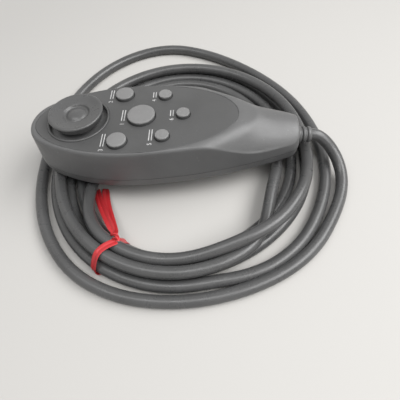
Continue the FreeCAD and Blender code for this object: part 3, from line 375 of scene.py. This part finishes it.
for key, (number, length) in LEGENDS.items():
    radius, x, y = KEYS[key]
    letter = bpy.data.curves.new("legend", "FONT")
    letter.body = number
    letter.size = NUMBER_SIZE * MM
    letter.align_y = "CENTER"
    holder = bpy.data.objects.new("legend", letter)
    flat = bpy.data.meshes.new_from_object(holder)
    start = Vector((x - radius - LEGEND_GAP, y - length / 2, FACE_Z + INK_HEIGHT))
    foot = Matrix.Translation(start * MM) @ Matrix.Rotation(math.pi / 2, 4, "Z")
    flat.transform(foot)
    prints.from_mesh(flat)
    bpy.data.objects.remove(holder)
    bpy.data.meshes.remove(flat)
    bar_length = length - BAR_START
    stretch = Matrix.Diagonal((bar_length * MM, BAR_WIDTH * MM, 1, 1))
    for aside in (-BAR_ASIDE, BAR_ASIDE):
        bar = bmesh.ops.create_grid(prints, x_segments=1, y_segments=1, size=0.5)
        shift = Matrix.Translation(Vector((BAR_START + bar_length / 2, aside, 0)) * MM)
        bmesh.ops.transform(prints, matrix=foot @ shift @ stretch, verts=bar["verts"])
finished(prints, "printed_legends", [ink], "housing", "panel")

# Ring around the stick's well: a black moulding with a satin rounded lip.
# It lies on the upper shell, in the panel's round opening.
RING_OUTLINE = [(16.6, -0.8, 0), (17.9, -0.8, 0), (17.9, 0.45, 0.3), (17.45, 0.8, 0.25),
                (16.95, 0.8, 0.25), (16.6, 0.35, 0.2), (16.6, -0.8, 0)]
well_top = Matrix.Translation(Vector((*STICK, FACE_Z)) * MM)
ring = bmesh.new()
turned(ring, RING_OUTLINE, 128, well_top)
finished(ring, "well_ring", [soft_black], "housing", "bezel", "stick_bezel")

# Thumb knob: soft black plastic, a broad cup with a rounded rim, and in it a dish with a low dome
# for the thumb. Its side leans outwards, and a hub below the cup is pressed on the shaft.
KNOB_OUTLINE = [
    (0, 4.0, 0), (1.5, 4.0, 0), (1.5, 0.1, 0), (3.4, 0.1, 0), (3.4, 2.5, 0), (12.5, 2.5, 0),
    (12.5, 1.6, 0), (14.0, 1.6, 0.25), (15.6, 5.75, 0.4), (15.0, 6.42, 0.3), (14.1, 6.5, 0.35),
    (12.7, 6.02, 0), (11.2, 5.5, 0), (9.4, 5.12, 0), (7.7, 4.95, 0.3), (6.95, 3.75, 0.25),
    (6.3, 3.6, 0.2), (5.6, 3.8, 0.2), (4.9, 4.38, 0), (4.0, 4.86, 0), (3.0, 5.2, 0),
    (1.9, 5.43, 0), (0.9, 5.53, 0), (0, 5.55, 0),
]
knob = bmesh.new()
turned(knob, KNOB_OUTLINE, 128, well_top)
finished(knob, "thumb_knob", [soft_black], "stick", "knob", "stick_knob")

# Keys: round caps with a matte light-grey top, their sides below it coloured dark grey as painted
# shade. A flange under the shell stops each cap and its stem presses the switch on the board.
key_grey = moulded("key_grey", grey(0.178, 0.01), grey(0.205, 0.01), 0.46, grain=1200.0)
# dark grey for the keys' sides: painted shade
key_side_shade = moulded("key_side_shade", grey(0.05), grey(0.06), 0.5)
KEY_TOP, SKIRT_TOP, TOP_INSET = 2.3, 1.55, 0.18
STEM_RADIUS, STEM_END = 2.0, -9.9
FLANGE_REACH, FLANGE_FOOT, FLANGE_TOP = 1.0, -3.4, -2.1
GREY_FROM = 1.6
CROWNS = {  # radius and depth below the top: a dished large key, flat ones, small ones with a pip
    LARGE: [(6.6, 0.02), (4.8, 0.12), (2.4, 0.18), (0, 0.2)],
    MEDIUM: [(4.3, 0.05), (2.75, 0.02), (0, 0)],
    SMALL: [(2.95, 0.12), (1.975, 0.16), (1.185, 0.1), (0.474, 0), (0, 0)],
}
for name, (radius, x, y) in KEYS.items():
    outline = [(0, STEM_END, 0), (STEM_RADIUS, STEM_END, 0), (STEM_RADIUS, FLANGE_FOOT, 0),
               (radius + FLANGE_REACH, FLANGE_FOOT, 0), (radius + FLANGE_REACH, FLANGE_TOP, 0),
               (radius, FLANGE_TOP, 0), (radius, SKIRT_TOP, 0.15),
               (radius - TOP_INSET, SKIRT_TOP + 0.07, 0), (radius - TOP_INSET, KEY_TOP - 0.1, 0.35)]
    outline += [(reach, KEY_TOP - depth, 0) for reach, depth in CROWNS[radius]]
    cap = bmesh.new()
    turned(cap, outline, 96 if radius == LARGE else 72,
           Matrix.Translation(Vector((x, y, FACE_Z)) * MM))
    # faces below GREY_FROM take the dark side material: painted shade on the caps' sides
    for face in cap.faces:
        is_top = face.calc_center_median().z > (FACE_Z + GREY_FROM) * MM
        face.material_index = 0 if is_top else 1
    finished(cap, name + "_cap", [key_grey, key_side_shade], name + "_body", "key", name)

# Strain relief: a ribbed black rubber sleeve moulded on the lead.
# Its neck is held by both shells in the tail's end wall.
TAIL_X = 78.25
ALONG_X = Matrix.Rotation(math.pi / 2, 4, "Y")
rubber = moulded("relief_rubber", grey(0.085), grey(0.1), 0.4, grain=1800.0, relief=0.08)
RELIEF_RIBS, RIB_STEP, RIB_TAPER = 2, 2.9, 0.12
relief = [(3.5, -4.8, 0), (5.0, -4.8, 0), (5.0, -2.8, 0), (4.2, -2.8, 0), (4.2, 0, 0),
          (5.0, 0, 0.3)]
for rib in range(RELIEF_RIBS):
    start, less = rib * RIB_STEP, rib * RIB_TAPER
    relief += [(5.0 - less, start + 1.6, 0.45), (4.1, start + 1.9, 0.3),
               (4.1, start + 2.6, 0.3), (4.95 - less, start + 2.9, 0.45)]
relief += [(4.75, 7.0, 0.6), (4.1, 8.0, 0.3), (3.45, 8.0, 0)]
relief_shape = bmesh.new()
turned(relief_shape, relief, 64, Matrix.Translation(Vector((TAIL_X, 0, PARTING_Z)) * MM) @ ALONG_X)
finished(relief_shape, "relief_sleeve", [rubber], "housing", "cable", "strain_relief")

# Lead: one length of round multi-core lead, 7 mm over its satin black sheath. It leaves the tail,
# makes a loose turn on the floor, winds inwards under the control, climbs and crosses over,
# and ends in its plug.
sheath = moulded("lead_sheath", grey(0.062), grey(0.078), 0.32, grain=1300.0, relief=0.05, rub=0.12,
                 wave=9.0)
dress(sheath, "cable_inner_end")
LEAD_RADIUS = 3.5 * MM
LYING = -27.8
UPPER = LYING + 7.0
loose_turn = [
    (104.15, -21.2, -26.3), (101.2, -33.0, LYING), (93.8, -47.5, LYING), (82.5, -64.5, LYING),
    (67.5, -77.5, LYING), (47.5, -87.5, LYING), (24.5, -93.8, LYING), (0.0, -95.4, LYING),
    (-27.0, -90.8, LYING), (-52.0, -77.0, LYING), (-71.0, -53.0, LYING), (-82.0, -23.5, LYING),
    (-85.7, 8.5, LYING), (-84.2, 41.5, LYING), (-76.0, 74.0, LYING), (-58.7, 103.5, LYING),
    (-33.2, 123.0, LYING), (-4.7, 128.5, LYING), (22.0, 118.3, LYING), (45.5, 101.5, LYING),
    (67.0, 80.0, LYING), (84.0, 55.0, LYING), (94.0, 28.0, LYING), (97.3, 0.0, LYING),
    (94.8, -22.5, LYING), (87.0, -43.5, LYING), (75.5, -62.0, LYING), (60.0, -75.0, LYING),
    (43.0, -82.0, LYING), (26.0, -84.5, LYING),
]
lead_route = [(86.25, 0, PARTING_Z), (89.45, -0.1, -9.75), (94.2, -1.7, -12.5), (99.3, -5.3, -17.4),
              (103.1, -11.9, -22.4)] + loose_turn
TURN, POINTS_PER_TURN = 360, 36
OUTER_OVAL = (5.5, 80.05, 89.75)  # middle along X, half length along X and along Y
INNER_OVAL = (4.5, 62.65, 75.15)
COIL_Y = 3.1
LAYER = 7.15
TIE_ANGLE, TIE_LIFT = -118.0, 0.95
# the spline runs inside the corners of its points, nearer to the middle by this factor
SPLINE_INSIDE = (6 + 2 * math.cos(2 * math.pi / POINTS_PER_TURN)) / 8


def coil_point(angle, place, level):
    """A point of the coil: place 0 is the outer turn and 2 the inner one, level 0 the lower layer.

    All turns rise a little where the tie's ribbon passes below them.
    """
    turn = math.radians(angle)
    from_tie = abs((angle - TIE_ANGLE + TURN / 2) % TURN - TURN / 2)
    lift = TIE_LIFT * max(0.0, math.cos(math.radians(min(from_tie * 3, 90))))
    middle, half_x, half_y = [outer + (inner - outer) * place / 2
                              for outer, inner in zip(OUTER_OVAL, INNER_OVAL)]
    x = middle + half_x / SPLINE_INSIDE * math.cos(turn)
    y = COIL_Y + half_y / SPLINE_INSIDE * math.sin(turn)
    return (x, y, LYING + LAYER * level + lift)


# angles run on clockwise seen from above: three turns inwards on the floor, each shifting at the
# right side, then up the inner side, outwards over the others and once round on top to the tail
COIL_START, COIL_END = -86, -4 * TURN - 1
SHIFTS = [  # change of place, and the angles between which it comes about
    (1.0, -TURN - 10, -TURN - 80), (1.0, -2 * TURN - 10, -2 * TURN - 80),
    (-1.4, -3 * TURN - 26, -3 * TURN - 58), (-0.5, -3 * TURN - 270, -3 * TURN - 345),
]
CLIMB = (-3 * TURN + 8, -3 * TURN - 30)
coil_route = []
for angle in range(COIL_START, COIL_END, -TURN // POINTS_PER_TURN):
    place = sum(change * soft_step(angle, start, end) for change, start, end in SHIFTS)
    coil_route.append(coil_point(angle, place, soft_step(angle, *CLIMB)))
crossing_route = [
    (84.9, -5.0, UPPER), (82.5, -19.0, UPPER + 2.3), (78.8, -31.5, UPPER + 6.0),
    (72.3, -44.5, UPPER + 7.6), (61.5, -57.3, UPPER + 7.8), (47.5, -65.5, UPPER + 7.4),
    (33.0, -70.5, UPPER + 4.6), (19.0, -73.6, UPPER + 1.2), (6.0, -75.0, UPPER),
]
inner_route = [coil_point(angle, 1.58, 1.0) for angle in (-100, -110, -120, -130)]
PLUG_Y, PLUG_Z = 30.0, -24.9
plug_route = [
    (-44.9, -45.4, UPPER), (-46.9, -34.0, UPPER - 0.2), (-47.2, -22.0, UPPER - 1.8),
    (-46.0, -9.0, UPPER - 4.9), (-42.8, 4.5, LYING + 0.4), (-38.2, 14.5, LYING + 0.8),
    (-31.5, 22.6, LYING + 1.7), (-23.5, 27.6, LYING + 2.6), (-16.0, 29.6, PLUG_Z - 0.05),
    (-11.0, PLUG_Y, PLUG_Z),
]
route = lead_route + coil_route + crossing_route + inner_route + plug_route
lead_line = bpy.data.curves.new("lead", "CURVE")
lead_line.dimensions = "3D"
lead_line.bevel_depth = LEAD_RADIUS
lead_line.bevel_resolution = 6
lead_line.resolution_u = 5
lead_line.use_fill_caps = True
spline = lead_line.splines.new("NURBS")
spline.points.add(len(route) - 1)
for point, spot in zip(spline.points, route):
    point.co = (*(Vector(spot) * MM), 1.0)
spline.order_u = 3
spline.use_endpoint_u = True
lead = bpy.data.objects.new("lead", lead_line)
bpy.context.scene.collection.objects.link(lead)
lead_line.materials.append(sheath)
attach(lead, "housing")
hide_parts("cable_lead", "cable_coil", "cable_crossing", "cable_plug_lead")

# Twist tie: a flat red plastic ribbon with a wire in its middle, drawn around the turns, twisted
# together on the inner side and left with two crossing ends that hang down to the floor.
red_ribbon = moulded("red_ribbon", (0.42, 0.02, 0.025, 1), (0.5, 0.03, 0.035, 1), 0.42, grain=700.0,
                     relief=0.12)
RIBBON_HALF, RIBBON_THICKNESS = 2.3, 0.3
RIBBON_OUTLINE = [(-1.0, 0.0), (-0.36, 0.05), (-0.14, 0.34), (0.14, 0.34), (0.36, 0.05), (1.0, 0.0)]


def ribbon(shape, stations):
    """Draw the ribbon's outline along stations, each a place and the way its face looks."""
    places = [Vector(place) for place, facing in stations]
    rows = []
    for index, (place, facing) in enumerate(stations):
        run = places[min(index + 1, len(places) - 1)] - places[max(index - 1, 0)]
        run.normalize()
        across = run.cross(Vector(facing)).normalized()
        turn = Matrix((across, across.cross(-run), run)).transposed().to_4x4()
        rows.append(Matrix.Translation(Vector(place) * MM) @ turn)
    row = [shape.verts.new(rows[0] @ Vector((x * RIBBON_HALF * MM, y * MM, 0)))
           for x, y in RIBBON_OUTLINE]
    edges = [shape.edges.new(pair) for pair in zip(row, row[1:])]
    for here, there in zip(rows, rows[1:]):
        grown = bmesh.ops.extrude_edge_only(shape, edges=edges)["geom"]
        fresh = [part for part in grown if isinstance(part, bmesh.types.BMVert)]
        edges = [part for part in grown if isinstance(part, bmesh.types.BMEdge)
                 and set(part.verts) <= set(fresh)]
        bmesh.ops.transform(shape, matrix=there @ here.inverted(), verts=fresh)


BUNDLE = Vector((-30.0, -69.0, -24.0))
round_bundle = [
    (-24.6, -65.0, -16.5), (-26.4, -66.3, -15.8), (-28.4, -67.3, -15.7), (-30.6, -68.6, -15.7),
    (-32.8, -70.6, -15.7), (-34.6, -72.8, -16.5), (-35.9, -74.4, -19.0), (-36.9, -75.8, -21.8),
    (-37.9, -77.0, -24.6), (-38.2, -77.6, -27.4), (-37.3, -76.6, -30.4), (-35.9, -74.9, -30.78),
    (-33.6, -71.8, -30.76), (-30.0, -67.0, -30.76), (-25.0, -62.0, -30.76), (-22.4, -59.9, -30.1),
    (-21.7, -59.6, -27.2), (-22.4, -61.1, -23.6), (-23.2, -62.9, -19.8), (-24.0, -64.2, -17.4),
]
tie_ends = [
    [(-28.2, -58.0, -18.6), (-32.7, -49.8, -20.5), (-38.8, -38.9, -23.5), (-43.4, -29.0, -26.6),
     (-46.4, -20.6, -28.8)],
    [(-27.6, -57.4, -20.3), (-31.8, -47.4, -23.2), (-36.2, -37.0, -26.2), (-39.6, -27.2, -28.6),
     (-41.4, -18.8, -30.2)],
]
END_LEANS = (-0.35, 0.35)
TWIST_STEPS, TWIST_HALF_TURNS, TWIST_RADIUS = 9, 1.5, 0.55
twist_start, twist_end = Vector((-24.6, -65.0, -15.8)), Vector((-26.9, -60.4, -18.0))
twist_run = (twist_end - twist_start).normalized()
twist_side = twist_run.cross(Vector((0, 0, 1))).normalized()
tie = bmesh.new()
ribbon(tie, [(place, Vector(place) - BUNDLE) for place in round_bundle])
for strand, end in enumerate(tie_ends):
    stations = []
    for step in range(TWIST_STEPS):
        share = step / (TWIST_STEPS - 1)
        roll = math.pi * (strand + TWIST_HALF_TURNS * share)
        out = math.cos(roll) * twist_side + math.sin(roll) * twist_side.cross(twist_run)
        stations.append((twist_start.lerp(twist_end, share) + TWIST_RADIUS * out, out))
    stations += [(place, (END_LEANS[strand], 0.25, 1.0)) for place in end]
    ribbon(tie, stations)
bmesh.ops.recalc_face_normals(tie, faces=tie.faces[:])
tie_piece = finished(tie, "tie_ribbon", [red_ribbon], "housing", "tie", "twist_tie")
thickness = tie_piece.modifiers.new("thickness", "SOLIDIFY")
thickness.thickness = RIBBON_THICKNESS * MM
thickness.offset = 0.0
smooth = tie_piece.modifiers.new("smooth", "SUBSURF")
smooth.levels = smooth.render_levels = 2

# Plug: a ribbed boot on the lead, a round black grip with grooves for the fingers, a plated shell
# with a rolled lip, and seven brass pins in a black insert.
PLUG_AXIS = Matrix.Translation(Vector((0, PLUG_Y, PLUG_Z)) * MM) @ ALONG_X
BOOT_RIBS, BOOT_STEP, BOOT_SWELL = 4, 2.3, 0.22
boot_line = [(0, -11.0, 0), (3.45, -11.0, 0), (4.0, -11.0, 0.25)]
for rib in range(BOOT_RIBS):
    start, radius = -9.9 + BOOT_STEP * rib, 4.1 + BOOT_SWELL * rib
    boot_line += [(radius, start, 0.2), (radius - 0.7, start + 0.35, 0.2),
                  (radius - 0.7, start + 0.95, 0.2), (radius + 0.1, start + 1.3, 0.2)]
boot_line += [(5.1, -0.6, 0.2), (5.1, 0, 0), (0, 0, 0)]
boot = bmesh.new()
turned(boot, boot_line, 64, PLUG_AXIS)
finished(boot, "boot_sleeve", [rubber], "housing", "cable", "plug_boot")
GRIP_RADIUS, GRIP_GROOVES, GROOVE_STEP, GROOVE_RADIUS = 6.4, 6, 1.8, 5.95
grip_line = [(0, 0, 0), (5.3, 0, 0.3), (6.0, 1.2, 0.4), (6.35, 3.2, 0)]
for groove in range(GRIP_GROOVES):
    start = 5.0 + GROOVE_STEP * groove
    grip_line += [(GRIP_RADIUS, start, 0.2), (GROOVE_RADIUS, start + 0.3, 0.15),
                  (GROOVE_RADIUS, start + 0.8, 0.15), (GRIP_RADIUS, start + 1.1, 0.2)]
grip_line += [(GRIP_RADIUS, 18.6, 0.5), (5.4, 20.0, 0.3), (0, 20.0, 0)]
grip = bmesh.new()
turned(grip, grip_line, 96, PLUG_AXIS)
finished(grip, "grip_sleeve", [black_moulding], "housing", "grip", "plug_grip")
PLATED_OUTLINE = [(4.36, 20.0, 0), (4.75, 20.0, 0), (4.75, 21.0, 0.1), (4.62, 21.2, 0.1),
                  (4.62, 26.4, 0.1), (4.75, 26.7, 0.15), (4.75, 27.4, 0.2), (4.36, 27.45, 0.15),
                  (4.36, 20.0, 0)]
plug_shell = bmesh.new()
turned(plug_shell, PLATED_OUTLINE, 96, PLUG_AXIS)
finished(plug_shell, "plated_sleeve", [plated], "housing", "plated", "plug_shell")
INSERT_OUTLINE = [(0, 20.0, 0), (4.3, 20.0, 0), (4.3, 24.3, 0.2), (3.7, 24.5, 0.15),
                  (3.6, 24.2, 0.1), (0, 24.2, 0)]
insert = bmesh.new()
turned(insert, INSERT_OUTLINE, 72, PLUG_AXIS)
finished(insert, "pin_insert", [black_moulding], "housing", "switch", "plug_insert")
brass, brass_shader, brass_spot = new_finish("contact_brass")
brass_shader.inputs["Metallic"].default_value = 1.0
worn_brass = noise(brass_spot, 900.0)
brass_colour = worn_brass.mix((0.6, 0.44, 0.18, 1), (0.75, 0.58, 0.26, 1))
brass_spot.feed(brass_shader.inputs["Roughness"], 0.2 + 0.2 * worn_brass)
brass_spot.feed(brass_shader.inputs["Base Color"], brass_colour)
PIN_COUNT, PIN_CIRCLE = 7, 2.6
PIN_OUTLINE = [(0, 23.7, 0), (0.5, 23.7, 0), (0.5, 26.6, 0.2), (0.28, 27.0, 0.1), (0, 27.0, 0)]
pins = bmesh.new()
for pin in range(PIN_COUNT):
    turn = 2 * math.pi * pin / PIN_COUNT
    aside = Vector((0, math.cos(turn), math.sin(turn))) * PIN_CIRCLE * MM
    turned(pins, PIN_OUTLINE, 20, Matrix.Translation(aside) @ PLUG_AXIS)
finished(pins, "plug_pins", [brass], "housing", "contact", "plug_contacts")

# Stage: a plain pale floor that fades into a pale backdrop far from the object, a large soft light
# from the upper right, a weaker one from above, and the camera at the photograph's angle.
FLOOR_Z, FLOOR_HALF = -31.35 * MM, 2.5
BACKDROP = (0.76, 0.745, 0.72, 1)
FADE_START, FADE_END = 0.22, 0.62
ROOM_LIGHT = (0.324, 0.331, 0.342, 1)


def seen_rays(start):
    """1 for what the camera sees, straight or mirrored, and 0 for light that falls on pieces."""
    rays = [start.node("LightPath", {}, {}, f"Is {kind} Ray")
            for kind in ("Camera", "Glossy", "Transmission")]
    return start.math("MINIMUM", rays[0] + rays[1] + rays[2], 1.0)


pale, pale_shader, pale_spot = new_finish("pale_floor")
pale_shader.inputs["Base Color"].default_value = (0.5, 0.487, 0.465, 1)
pale_shader.inputs["Roughness"].default_value = 0.7
lit = Shade(pale.node_tree, pale_shader.outputs["BSDF"])
sweep = pale_spot.node("Emission", {}, {"Color": BACKDROP, "Strength": 1.0})
away = pale_spot.node("VectorMath", {"operation": "LENGTH"}, {0: pale_spot}, "Value")
fade = away.between(FADE_START, FADE_END) * seen_rays(pale_spot)
pale_spot.feed(pale.node_tree.nodes["Material Output"].inputs["Surface"],
               pale_spot.node("MixShader", {}, {0: fade, 1: lit, 2: sweep}))
floor_shape = bmesh.new()
bmesh.ops.create_grid(floor_shape, x_segments=1, y_segments=1, size=FLOOR_HALF,
                      matrix=Matrix.Translation((0, 0, FLOOR_Z)))
floor_mesh = bpy.data.meshes.new("floor")
floor_shape.to_mesh(floor_mesh)
floor_shape.free()
floor_mesh.materials.append(pale)
floor = bpy.data.objects.new("floor", floor_mesh)
bpy.context.scene.collection.objects.link(floor)


def softbox(name, place, size, watts):
    """A rectangular area light that points at the origin."""
    lamp = bpy.data.lights.new(name, "AREA")
    lamp.shape = "RECTANGLE"
    lamp.size, lamp.size_y = size
    lamp.energy = watts
    lamp.spread = math.radians(100)
    holder = bpy.data.objects.new(name, lamp)
    holder.location = place
    holder.rotation_euler = (-Vector(place)).to_track_quat("-Z", "Y").to_euler()
    bpy.context.scene.collection.objects.link(holder)


softbox("window_light", place=(0.62, -0.08, 0.66), size=(1.4, 0.5), watts=5.1)
softbox("top_light", place=(-0.15, -0.28, 1.0), size=(1.3, 0.4), watts=2.0)
world = bpy.data.worlds.new("room")
world.use_nodes = True
room = Shade(world.node_tree)
room.feed(world.node_tree.nodes["Background"].inputs["Color"],
          seen_rays(room).mix(ROOM_LIGHT, BACKDROP))
bpy.context.scene.world = world
bpy.context.scene.view_settings.view_transform = "Standard"

PITCH, YAW, ROLL = math.radians(54.25), math.radians(-5.45), math.radians(6.55)
CAMERA_PLACE = Vector((30.75, -159.7, 149.75)) * MM
FOCAL_PIXELS, PHOTO_PIXELS = 365.7, 400
level_ahead = Vector((math.sin(YAW), math.cos(YAW), 0))
ahead = level_ahead * math.cos(PITCH) - Vector((0, 0, math.sin(PITCH)))
level_right = Vector((math.cos(YAW), -math.sin(YAW), 0))
level_down = ahead.cross(level_right)
right = math.cos(ROLL) * level_right + math.sin(ROLL) * level_down
up = math.sin(ROLL) * level_right - math.cos(ROLL) * level_down
lens = bpy.data.cameras.new("photo_camera")
lens.sensor_width = 36.0
lens.lens = FOCAL_PIXELS / PHOTO_PIXELS * lens.sensor_width
lens.clip_start = 0.01
camera = bpy.data.objects.new("photo_camera", lens)
facing = Matrix((right, up, -ahead)).transposed().to_4x4()
camera.matrix_world = Matrix.Translation(CAMERA_PLACE) @ facing
bpy.context.scene.collection.objects.link(camera)
bpy.context.scene.camera = camera
